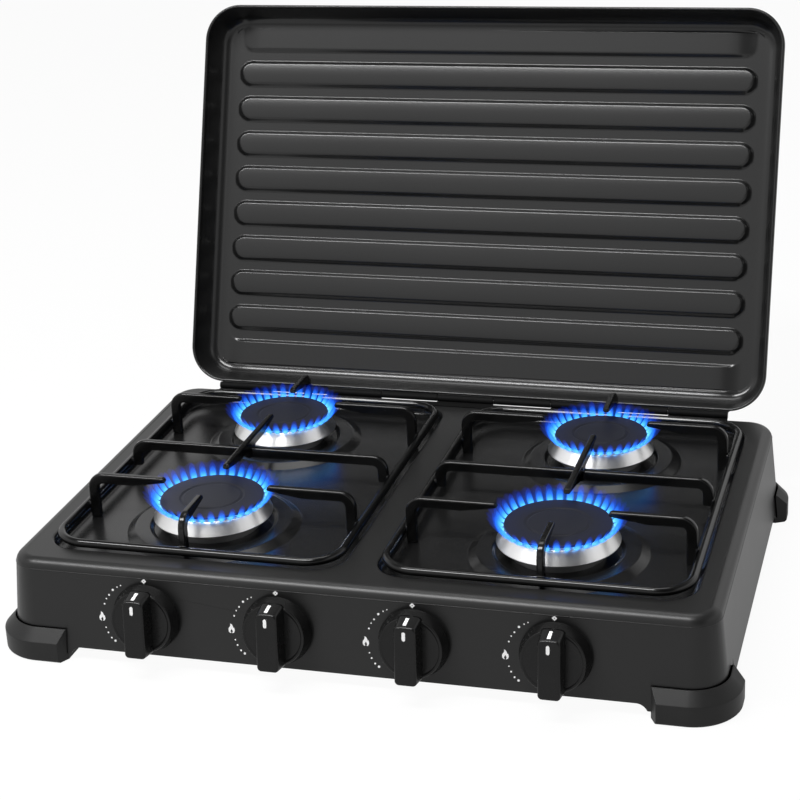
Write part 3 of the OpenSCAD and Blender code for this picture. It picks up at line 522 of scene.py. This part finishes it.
# Pan supports: two frames of bent steel rod with welded flat-bar fingers, dipped in gloss black
# enamel after welding. They stand loose in the wells on the legs of their side fingers.
enamel_finish, wire = new_finish("gloss_black_enamel")
place = place_of(wire)
flow = speckle(wire, place, 140.0)
pinhole = speckle(wire, place, 1500.0, 1.0)
lay_on(enamel_finish, wire.node("BsdfPrincipled", {}, {
    "Base Color": wire.mix(flow, grey(0.002), grey(0.004)),
    "Roughness": 0.14 + 0.06 * flow,
    "Specular IOR Level": 0.36,
    "Normal": grain(wire, pinhole, depth=0.00003, strength=0.12)}))
paint(enamel_finish, "grate_left", "grate_right")
soften("grate_left", "grate_right", width=0.0014, shallow=40, steps=4)


# Knobs: four controls moulded in satin black plastic, a skirt with a grip bar across its face, and a
# white index line printed on the front and the top of the bar. They push on to the tap spindles.
# Sizes here and in the dial marks are in mm from a knob's axis: to the right, up the panel, out of it.
RIM_TOP, RIM_OUT, GRIP_TOP, GRIP_FRONT, GRIP_ROOT = 22.5, 13.0, 19.7, 26.0, 1.5
GRIP_BASE_HALF, GRIP_HALF, GRIP_EDGE, GRIP_CORNER, GRIP_LEAST = 8.6, 7.7, 1.4, 3.0, 1.0
GRIP_ARCH, GRIP_TAIL = 0.9, 0.6
SKIRT = ((0.0, 12.6), (19.6, 12.6), (20.3, 12.7), (20.8, 13.0), (21.6, 13.0), (22.1, 12.85), (22.4, 12.5),
         (22.5, 12.1), (24.6, 4.0), (25.0, 3.4), (24.9, 3.05), (24.6, 3.0), (22.9, 3.0), (22.5, 3.2),
         (20.6, 10.0), (19.8, 10.6), (0.0, 10.6))
INDEX_RIGHT, INDEX_LOW, INDEX_HIGH, INDEX_W = -0.6, 10.8, 17.3, 2.4
TOP_TICK = ((-1.8, 23.4), (-1.8, 15.0), (0.6, 15.0), (0.6, 23.4))
FILM, TOP_FILM, FILM_SUNK = 0.12, 0.10, 0.4

knob_finish, wire = new_finish("satin_black_plastic")
place = place_of(wire)
tooth = speckle(wire, place, 3000.0, 1.0)
wear = speckle(wire, place, 70.0, 3.0)
lay_on(knob_finish, wire.node("BsdfPrincipled", {}, {
    "Base Color": wire.mix(wear, grey(0.004), grey(0.007)),
    "Roughness": 0.24 + 0.06 * wear,
    "Specular IOR Level": 0.26,
    "Normal": grain(wire, tooth, depth=0.00003, strength=0.15)}))
print_finish, wire = new_finish("white_print")
screen_mark = speckle(wire, place_of(wire), 2500.0)
lay_on(print_finish, wire.node("BsdfPrincipled", {}, {
    "Base Color": wire.mix(screen_mark, grey(0.90), grey(0.97)),
    "Roughness": 0.5 + 0.1 * screen_mark}))


def by_knob(knob_x, right, up, out=0.0):
    """A point beside a knob's axis, from mm to metres."""
    away = Vector((right, 0, 0)) + CONTROL_UP * up - CONTROL_IN * out
    return Vector((knob_x, CONTROL_Y, CONTROL_Z)) + 0.001 * away


def print_shape(mesh, knob_x, outline, up_film=0.0, out_film=FILM):
    """A closed printed shape of (right, up, out) points, as a film with its edge."""
    low = [mesh.verts.new(by_knob(knob_x, right, up - FILM_SUNK * up_film, out - FILM_SUNK * out_film))
           for right, up, out in outline]
    high = [mesh.verts.new(by_knob(knob_x, right, up + up_film, out + out_film))
            for right, up, out in outline]
    skin(mesh, [low, high], ends=True)


def round_bar(right, low, high, width, steps=6):
    """Outline of an upright bar with round ends."""
    r = width / 2
    return [(right + r * math.cos(math.pi * k / steps + turn), end + r * math.sin(math.pi * k / steps + turn))
            for end, turn in ((high - r, 0.0), (low + r, math.pi)) for k in range(steps + 1)]


def skirt(mesh, knob_x, turns=64):
    """The round part of a knob: a thin turned shell with a rolled rim round a shallow face."""
    rows = []
    for r, out in SKIRT:
        if r == 0.0:
            rows.append([mesh.verts.new(by_knob(knob_x, 0, 0, out))] * turns)
        else:
            rows.append([mesh.verts.new(by_knob(knob_x, r * math.cos(a), r * math.sin(a), out))
                         for a in (k * math.tau / turns for k in range(turns))])
    skin(mesh, rows)


def grip(mesh, knob_x):
    """The bar across a knob: it narrows to the front, with rounded edges and an arched pointing end."""
    straight, bend, corner_steps, side_spans, sideways = 4, 6, 8, 5, 0.05
    levels = [(RIM_OUT - GRIP_ROOT, 0.0)]
    levels += [(RIM_OUT + (GRIP_FRONT - GRIP_EDGE - RIM_OUT) * k / straight, 0.0)
               for k in range(straight + 1)]
    levels += [(GRIP_FRONT - GRIP_EDGE * (1 - math.sin(a)), GRIP_EDGE * (1 - math.cos(a)))
               for a in (math.pi / 2 * k / bend for k in range(1, bend + 1))]
    rows = []
    for out, inset in levels:
        t = (out - RIM_OUT) / (GRIP_FRONT - RIM_OUT)
        half = GRIP_BASE_HALF + (GRIP_HALF - GRIP_BASE_HALF) * t - inset
        top, low = RIM_TOP + (GRIP_TOP - RIM_TOP) * t - inset, -RIM_TOP + GRIP_TAIL * t + inset
        middle, reach = (top + low) / 2, (top - low) / 2
        row = []
        corner = max(GRIP_CORNER - inset, GRIP_LEAST)
        for point, away in ring(half, reach, corner, corner_steps, side_spans):
            on_end = point.y > 0 and abs(away.y) > sideways
            arch = GRIP_ARCH * (1 - (point.x / half) ** 2) if on_end else 0.0
            row.append(mesh.verts.new(by_knob(knob_x, point.x, middle + point.y + arch, out)))
        rows.append(row)
    skin(mesh, rows, ends=True)


for i, knob_x in zip(TAPS, CONTROL_X):
    mesh = bmesh.new()
    skirt(mesh, knob_x)
    grip(mesh, knob_x)
    knob = new_piece("knob_body_%d" % i, mesh, knob_finish)
    knob.modifiers.new("shade", "WEIGHTED_NORMAL").keep_sharp = True
    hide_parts("knob_%d" % i)
    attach(knob, "control_%d" % i)

slope = (GRIP_TOP - RIM_TOP) / (GRIP_FRONT - RIM_OUT)
for i, knob_x in zip(TAPS, CONTROL_X):
    mesh = bmesh.new()
    print_shape(mesh, knob_x, [(right, up, GRIP_FRONT) for right, up in round_bar(
        INDEX_RIGHT, INDEX_LOW, INDEX_HIGH, INDEX_W)])
    print_shape(mesh, knob_x, [(right, RIM_TOP + (out - RIM_OUT) * slope + GRIP_ARCH, out)
                               for right, out in TOP_TICK], TOP_FILM, 0.0)
    line = new_piece("index_line_%d" % i, mesh, print_finish, smooth=False)
    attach(line, "control_%d" % i)


# Dial marks: printed on the front panel in white beside each knob, a diamond for closed, dots along
# the turn, and a plain flame sign for the full setting.
DOTS = ((-19.4, 21.4, 0.44), (-22.1, 20.0, 0.48), (-25.6, 17.6, 0.84), (-28.7, 13.5, 0.64),
        (-30.9, 10.5, 0.52), (-32.6, 6.4, 0.64), (-32.6, -11.6, 0.52), (-31.1, -15.4, 0.64),
        (-28.7, -19.2, 0.68), (-26.0, -21.3, 0.88))
DOT_SIDES = 14
DIAMOND_RIGHT, DIAMOND_UP, DIAMOND_OUTER, DIAMOND_INNER = -1.5, 26.1, 1.9, 0.45
SIGN_RIGHT, SIGN_UP = -35.0, -3.2
SIGN_OUTER = ((-0.9, -3.6), (-1.9, -2.8), (-2.35, -1.5), (-2.1, 0.0), (-1.3, 1.2), (-0.8, 2.3), (-0.9, 3.6),
              (0.3, 2.9), (1.1, 1.5), (1.3, 0.4), (1.9, 0.9), (2.35, -1.4), (1.9, -2.8), (0.9, -3.6))
SIGN_INNER = ((-0.4, -3.3), (-0.8, -2.8), (-0.9, -2.2), (-0.8, -1.7), (-0.5, -1.2), (-0.25, -0.8),
              (0.0, -0.4), (0.1, -0.4), (0.25, -0.8), (0.4, -1.0), (0.6, -1.4), (0.8, -2.0), (0.8, -2.7),
              (0.4, -3.3))

for i, knob_x in zip(TAPS, CONTROL_X):
    mesh = bmesh.new()
    for right, up, r in DOTS:
        print_shape(mesh, knob_x, [(right + r * math.cos(a), up + r * math.sin(a), 0.0)
                                   for a in (k * math.tau / DOT_SIDES for k in range(DOT_SIDES))])
    for k in range(4):
        a, b = k * math.pi / 2, (k + 1) * math.pi / 2
        print_shape(mesh, knob_x, [
            (DIAMOND_RIGHT + r * math.cos(t), DIAMOND_UP + r * math.sin(t), 0.0) for r, t in (
                (DIAMOND_OUTER, a), (DIAMOND_OUTER, b), (DIAMOND_INNER, b), (DIAMOND_INNER, a))])
    for k in range(len(SIGN_OUTER) - 1):
        print_shape(mesh, knob_x, [(SIGN_RIGHT + right, SIGN_UP + up, 0.0) for right, up in (
            SIGN_OUTER[k], SIGN_OUTER[k + 1], SIGN_INNER[k + 1], SIGN_INNER[k])])
    marks = new_piece("dial_marks_%d" % i, mesh, print_finish, smooth=False)
    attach(marks, "stove")


# Lid: a tray pressed from one steel sheet, with a hem and a leaning wall, a rolled bead at the rim,
# and eight shallow ribs with a half rib, or ledge, before and after them. It is painted satin charcoal.
LID_W, LID_D, LID_CORNER, LEAST_CORNER, SHEET = 0.491, 0.3223, 0.030, 0.004, 0.001
HEM, PANEL_IN, SHOULDER, WALL = 0.008, 0.028, 0.009, math.radians(20)
HEM_BEND = ((0.0, -0.0015), (0.0001, -0.0007), (0.0003, 0.0), (0.0006, 0.0008))
RIBS, RIB_FIRST, RIB_PITCH, RIB_W, RIB_SIDE = 8, 0.044, 0.0302, 0.0226, 0.0225
RIB_H, RIB_CROWN, RIB_R, RIB_HALF = 0.0022, 0.0009, RIB_W / 2, LID_W / 2 - RIB_SIDE
RIB_FOOT, RIB_HEAD = RIB_FIRST - (RIB_PITCH - RIB_W), RIB_FIRST + RIBS * RIB_PITCH
FLANK, FLANK_MORE, FLANK_OUT, LEDGE_FLANK = 0.0027, 0.0017, 0.0003, 0.0040
LEDGE_OUT, LEDGE_FADE, HEAD_BLEND, HEAD_FADE = 0.001, 0.022, 0.010, 0.008
LIFT_FROM, LIFT_FADE = 0.034, 0.016
GRID_OUT, GRID_IN, GRID_FRONT, GRID_REAR, EDGE_IN = 0.004, 0.008, 0.028, 0.016, 0.0015
CORNER_STEPS, SIDE_SPANS, ARC_STEPS = 16, 40, 12
BEAD_IN, BEAD_R = 0.0011, 0.0012
HINGE, RIM_Z, REAR_Y, OPEN = Vector((0, 0.169, 0.0777)), 0.0785, 0.1658, math.radians(-110)

lid_finish, wire = new_finish("satin_charcoal_paint")
place = place_of(wire)
cloud = speckle(wire, place, 7.0, 3.0)
peel = speckle(wire, place, 900.0, 1.0)
lay_on(lid_finish, wire.node("BsdfPrincipled", {}, {
    "Base Color": wire.mix(cloud, grey(0.009), grey(0.012)),
    "Roughness": 0.20 + 0.04 * cloud,
    "Specular IOR Level": 0.44,
    "Normal": grain(wire, peel, depth=0.00004, strength=0.12)}))


def ease(t):
    """Smooth rise from 0 to 1."""
    t = min(max(t, 0.0), 1.0)
    return t * t * (3 - 2 * t)


def press(t, bend=0.3):
    """Straight rise from 0 to 1 with a bend at its foot and its head, as a die leaves it."""
    t = min(max(t, 0.0), 1.0)
    if t < bend:
        return t * t / (2 * bend * (1 - bend))
    if t > 1 - bend:
        return 1 - (1 - t) ** 2 / (2 * bend * (1 - bend))
    return (t - bend / 2) / (1 - bend)


def stadium(across, off):
    """Depth inside a rib's outline, a bar with round ends across the lid: above 0 inside."""
    return RIB_R - math.hypot(max(abs(across) - (RIB_HALF - RIB_R), 0.0), off)


def ledge(across):
    """How much there is of a ledge before or after the ribs: it fades towards the sides of the lid."""
    return ease((RIB_HALF + LEDGE_OUT - abs(across)) / LEDGE_FADE)


def rib_level(across, run):
    """Height of the pressing over the panel, across the lid and along it from the front rim."""
    k = min(max(round((run - RIB_FIRST - RIB_R) / RIB_PITCH), 0), RIBS - 1)
    off = run - RIB_FIRST - RIB_R - k * RIB_PITCH
    flank = FLANK + FLANK_MORE * ease(off / RIB_R + 0.5)
    crown = RIB_CROWN * max(0.0, 1 - (off / RIB_R) ** 2)
    level = (RIB_H + crown) * press((stadium(across, off) + FLANK_OUT) / flank)
    step = press((stadium(across, max(run - RIB_FOOT + RIB_R, 0.0)) + FLANK_OUT) / LEDGE_FLANK)
    level = max(level, RIB_H * step * ledge(across))
    if run > RIB_HEAD - HEAD_BLEND:
        step = press((-stadium(across, run - RIB_HEAD + RIB_R) + FLANK_OUT) / FLANK)
        level = max(level, RIB_H * step * ease((run - RIB_HEAD + HEAD_BLEND) / HEAD_FADE) * ledge(across))
    return level


def spread(marks, fine, coarse):
    """Places from the first mark to the last, close together near the marks."""
    near_by, grow, from_mark = 0.004, 0.55, 0.003
    places, at = [], marks[0]
    while at < marks[-1] - 1e-6:
        places.append(at)
        near = min(abs(at - mark) for mark in marks)
        at += fine if near < near_by else min(coarse, max(fine, grow * (near - from_mark)))
    return places + [marks[-1]]


mesh = bmesh.new()
marks_x = [-RIB_HALF + at for at in (-GRID_OUT, EDGE_IN, GRID_IN)]
marks_x += [RIB_HALF - at for at in (GRID_IN, EDGE_IN, -GRID_OUT)]
marks_y = [RIB_FIRST - GRID_FRONT, RIB_FOOT - EDGE_IN]
marks_y += [RIB_FIRST + k * RIB_PITCH + side for k in range(RIBS) for side in (EDGE_IN, RIB_W - EDGE_IN)]
marks_y += [RIB_HEAD + EDGE_IN, LID_D - GRID_REAR]
columns = spread(marks_x, fine=0.0008, coarse=0.03)
lines = spread(marks_y, fine=0.0005, coarse=0.004)
grid = [[mesh.verts.new((across, run - LID_D / 2, PANEL_IN - rib_level(across, run))) for across in columns]
        for run in lines]
for one, two in zip(grid, grid[1:]):
    for k in range(len(columns) - 1):
        mesh.faces.new((one[k], one[k + 1], two[k + 1], two[k]))
panel_edge = grid[0] + [row[-1] for row in grid[1:]] + grid[-1][-2::-1] + [row[0] for row in grid[-2:0:-1]]

arc_z = PANEL_IN - SHOULDER
slope_end = arc_z + SHOULDER * math.sin(WALL)
wall_in = SHEET + (slope_end - HEM) * math.tan(WALL)
section = [(SHEET, 0.0)] + [(SHEET + inset, HEM + rise) for inset, rise in HEM_BEND]
section += [(SHEET + (wall_in - SHEET) * t, HEM + (slope_end - HEM) * t) for t in (0.25, 0.5, 0.75, 1.0)]
section += [(wall_in + SHOULDER * (math.cos(WALL) - math.cos(a)), arc_z + SHOULDER * math.sin(a))
            for a in (WALL + (math.pi / 2 - WALL) * k / ARC_STEPS for k in range(1, ARC_STEPS + 1))]
rows = []
for inset, level in section:
    path = ring(LID_W / 2 - inset, LID_D / 2 - inset, max(LID_CORNER - inset, LEAST_CORNER),
                CORNER_STEPS, SIDE_SPANS)
    lift = RIB_H * ease((level - HEM) / (PANEL_IN - HEM))
    rows.append([mesh.verts.new((point.x, point.y, level - lift * ledge(point.x) * ease(
        (abs(point.y) - LID_D / 2 + LIFT_FROM) / LIFT_FADE))) for point, _ in path])
skin(mesh, rows)
border = []
for loop in (panel_edge, rows[-1]):
    for one, two in zip(loop, loop[1:] + loop[:1]):
        border.append(mesh.edges.get((one, two)) or mesh.edges.new((one, two)))
bmesh.ops.triangle_fill(mesh, use_beauty=True, use_dissolve=False, edges=border, normal=(0, 0, -1))
lid_place = Matrix.Translation(HINGE) @ Matrix.Rotation(OPEN, 4, "X") @ Matrix.Translation(
    Vector((0, REAR_Y - LID_D / 2, RIM_Z)) - HINGE)
bmesh.ops.transform(mesh, matrix=lid_place, verts=mesh.verts)
lid = new_piece("lid_tray", mesh, lid_finish)
sheet = lid.modifiers.new("sheet", "SOLIDIFY")
sheet.thickness, sheet.offset = SHEET, 1.0
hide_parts("lid")
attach(lid, "lid")

mesh = bmesh.new()
bead(mesh, ring(LID_W / 2, LID_D / 2, LID_CORNER, CORNER_STEPS), BEAD_IN, BEAD_R, sides=10)
bmesh.ops.transform(mesh, matrix=lid_place, verts=mesh.verts)
rim = new_piece("lid_rim_bead", mesh, lid_finish)
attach(rim, "lid")


# Hinge: a long piano hinge of rolled steel strip, painted black, with its leaves spot-welded to the
# lid and to the body, on a zinc-plated pin.
hinge_finish, wire = new_finish("satin_hinge_paint")
rub = speckle(wire, place_of(wire), 160.0, 3.0)
lay_on(hinge_finish, wire.node("BsdfPrincipled", {}, {
    "Base Color": wire.mix(rub, grey(0.004), grey(0.009)),
    "Roughness": 0.56 + 0.12 * rub,
    "Specular IOR Level": 0.06}))
paint(hinge_finish, "hinge_leaf_lid", "hinge_leaf_body")
soften("hinge_leaf_lid", "hinge_leaf_body", width=0.0002, shallow=40)
paint(zinc_finish, "hinge_pin")


# Studio: a plain white floor in a white room, which gloss sees darker overhead and on the side of
# the camera, with a soft box above, a long strip light in front, and the photograph's camera.
FLOOR_HALF, FLOOR_Y, FLOOR_Z = 6.0, 2.0, -0.0002
FLOOR_SEEN, FLOOR_IN_GLOSS, AIR_LEVEL = 0.95, 0.5, 0.15
DARK_SIDE = (0.48, -0.69, 0.54)
EYE_PLACE, EYE_TURN, LENS = (0.393862, -1.321406, 0.692409), (16.829, -21.675, -2.886), 89.600


def rays(wire):
    """1 for rays from the camera, for rays off gloss, and for rays that went through a piece."""
    return [wire.node("LightPath", out="Is %s Ray" % kind) for kind in ("Camera", "Glossy", "Transmission")]


floor_finish, wire = new_finish("white_floor")
seen, glossy, through = rays(wire)
lay_on(floor_finish, wire.node("MixShader", {}, {
    0: wire.math("MINIMUM", seen * FLOOR_SEEN + glossy * FLOOR_IN_GLOSS + through * FLOOR_SEEN, 1.0),
    1: wire.node("BsdfDiffuse", {}, {"Color": wire.mix(seen, grey(0.5), grey(0.92))}),
    2: wire.node("Emission", {}, {"Color": grey(1.0), "Strength": 1.0})}))
mesh = bmesh.new()
bmesh.ops.create_grid(mesh, x_segments=2, y_segments=2, size=FLOOR_HALF,
                      matrix=Matrix.Translation((0, FLOOR_Y, FLOOR_Z)))
floor = new_piece("floor", mesh, floor_finish, smooth=False)

sky = bpy.data.worlds.new("studio_air")
bpy.context.scene.world = sky
sky.use_nodes = True
sky.node_tree.nodes.clear()
wire = Wire(sky.node_tree)
way = wire.node("TexCoord", out="Generated")
height = wire.node("SeparateXYZ", {}, {0: way}, "Z")
facing = wire.node("VectorMath", {"operation": "DOT_PRODUCT"}, {0: way, 1: DARK_SIDE}, "Value")
room = rise_between(wire, facing, 0.80, 0.97, at_low=1.0, at_high=0.10)
ceiling = rise_between(wire, height, 0.45, 0.75, at_low=1.0, at_high=0.22)
haze = rise_between(wire, height, 0.0, 0.40, at_low=0.62, at_high=1.0)
seen, glossy, through = rays(wire)
plain = wire.math("MINIMUM", seen + through, 1.0)
air = wire.node("Background", {}, {"Color": grey(1.0), "Strength": plain + (1.0 - plain) * (
    glossy * room * ceiling * haze + (1.0 - glossy) * AIR_LEVEL)})
output = sky.node_tree.nodes.new("ShaderNodeOutputWorld")
sky.node_tree.links.new(air.socket, output.inputs["Surface"])


def soft_box(name, place, target, width, depth, level):
    """A flat lamp of that brightness, turned to a point."""
    lamp = bpy.data.lights.new(name, "AREA")
    lamp.shape, lamp.size, lamp.size_y = "RECTANGLE", width, depth
    lamp.energy = level * math.pi * width * depth
    piece = bpy.data.objects.new(name, lamp)
    piece.location = place
    piece.rotation_mode = "QUATERNION"
    piece.rotation_quaternion = (Vector(target) - Vector(place)).to_track_quat("-Z", "Y")
    bpy.context.scene.collection.objects.link(piece)


soft_box("overhead_box", (-0.1, 0.35, 1.9), (-0.1, 0.35, 0), width=1.3, depth=0.6, level=4.0)
soft_box("key_strip", (-0.48, -0.76, 1.5), (-0.48, -0.1, 0.05), width=1.35, depth=0.3, level=27.0)

eye = bpy.data.cameras.new("camera")
eye.sensor_fit = "HORIZONTAL"
eye.sensor_width, eye.lens = 36.0, LENS
eye.clip_start, eye.clip_end = 0.05, 50.0
yaw, pitch, roll = (math.radians(a) for a in EYE_TURN)
ahead = Vector((-math.sin(yaw) * math.cos(pitch), math.cos(yaw) * math.cos(pitch), math.sin(pitch)))
right = Vector((math.cos(yaw), math.sin(yaw), 0))
up = right.cross(ahead)
right, up = right * math.cos(roll) + up * math.sin(roll), up * math.cos(roll) - right * math.sin(roll)
camera = bpy.data.objects.new("camera", eye)
camera.matrix_world = Matrix.Translation(EYE_PLACE) @ Matrix((right, up, -ahead)).transposed().to_4x4()
bpy.context.scene.collection.objects.link(camera)
bpy.context.scene.camera = camera
bpy.context.scene.view_settings.view_transform = "Standard"

bpy.context.view_layer.update()
